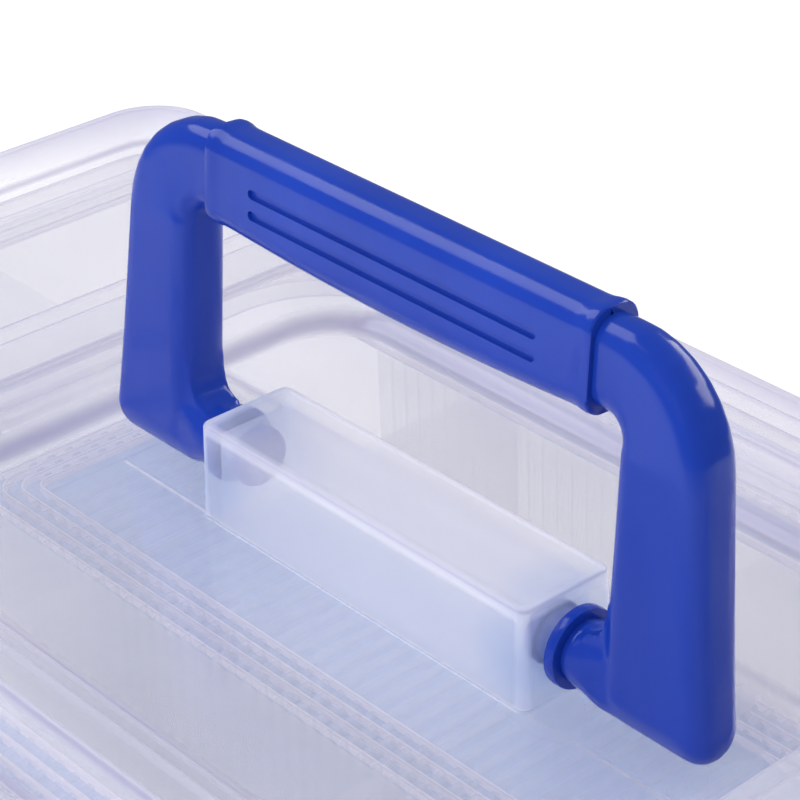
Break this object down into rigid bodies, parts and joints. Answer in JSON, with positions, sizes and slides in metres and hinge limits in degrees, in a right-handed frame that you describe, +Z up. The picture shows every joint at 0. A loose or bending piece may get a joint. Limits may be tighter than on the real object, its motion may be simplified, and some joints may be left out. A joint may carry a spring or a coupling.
{
  "type": "sewing box with trays",
  "caption": "Long translucent box with a folding carry handle recessed in its lid, end latches, and stacked lift-out trays with removable dividers.",
  "frame": {"origin": "bottom centre of the tub, on the surface it stands on", "axes": "+Z up, +X along the carry handle and the long side, -Y the front"},
  "size_m": [0.3886, 0.178, 0.2224],
  "materials": {
    "clear_plastic": "clear polypropylene, faintly milky and lilac, smooth mould gloss",
    "blue_plastic": "royal blue polypropylene, glossy"
  },
  "bodies": {
    "tub": {"base_tub": "clear_plastic"},
    "lid": {"lid": "clear_plastic"},
    "handle": {"carry_handle": "blue_plastic", "grip_sleeve": "blue_plastic"},
    "right_latch": {"right_latch": "blue_plastic"},
    "left_latch": {"left_latch": "blue_plastic"},
    "upper_tray": {"upper_tray": "clear_plastic"},
    "upper_dividers": {"upper_divider_front_left": "clear_plastic", "upper_divider_front_right": "clear_plastic", "upper_divider_middle_left": "clear_plastic", "upper_divider_middle_right": "clear_plastic", "upper_divider_back_left": "clear_plastic", "upper_divider_back_right": "clear_plastic"},
    "lower_tray": {"lower_tray": "clear_plastic"},
    "lower_dividers": {"lower_divider_front_left": "clear_plastic", "lower_divider_front_right": "clear_plastic", "lower_divider_middle_left": "clear_plastic", "lower_divider_middle_right": "clear_plastic", "lower_divider_back_left": "clear_plastic", "lower_divider_back_right": "clear_plastic"}
  },
  "joints": [
    {"name": "lid_lift", "type": "slide", "parent": "tub", "child": "lid", "axis": [0, 0, 1], "range_m": [0, 0.2]},
    {"name": "handle_fold", "type": "hinge", "parent": "lid", "child": "handle", "pos_m": [0, 0, 0.1639], "axis": [1, 0, 0], "range_deg": [-85.5, 94.5]},
    {"name": "right_latch_open", "type": "hinge", "parent": "lid", "child": "right_latch", "pos_m": [0.187, 0, 0.154], "axis": [0, -1, 0], "range_deg": [0, 110]},
    {"name": "left_latch_open", "type": "hinge", "parent": "lid", "child": "left_latch", "pos_m": [-0.187, 0, 0.154], "axis": [0, 1, 0], "range_deg": [0, 110]},
    {"name": "upper_tray_lift", "type": "slide", "parent": "tub", "child": "upper_tray", "axis": [0, 0, 1], "range_m": [0, 0.14]},
    {"name": "upper_dividers_lift", "type": "slide", "parent": "upper_tray", "child": "upper_dividers", "axis": [0, 0, 1], "range_m": [0, 0.044]},
    {"name": "lower_tray_lift", "type": "slide", "parent": "tub", "child": "lower_tray", "axis": [0, 0, 1], "range_m": [0, 0.09]},
    {"name": "lower_dividers_lift", "type": "slide", "parent": "lower_tray", "child": "lower_dividers", "axis": [0, 0, 1], "range_m": [0, 0.044]}
  ],
  "couplings": [
    {"joint": "upper_tray_lift", "follows": "lid_lift", "ratio": 0.7},
    {"joint": "upper_dividers_lift", "follows": "lid_lift", "ratio": 0.22},
    {"joint": "lower_tray_lift", "follows": "lid_lift", "ratio": 0.45},
    {"joint": "lower_dividers_lift", "follows": "lid_lift", "ratio": 0.22}
  ]
}
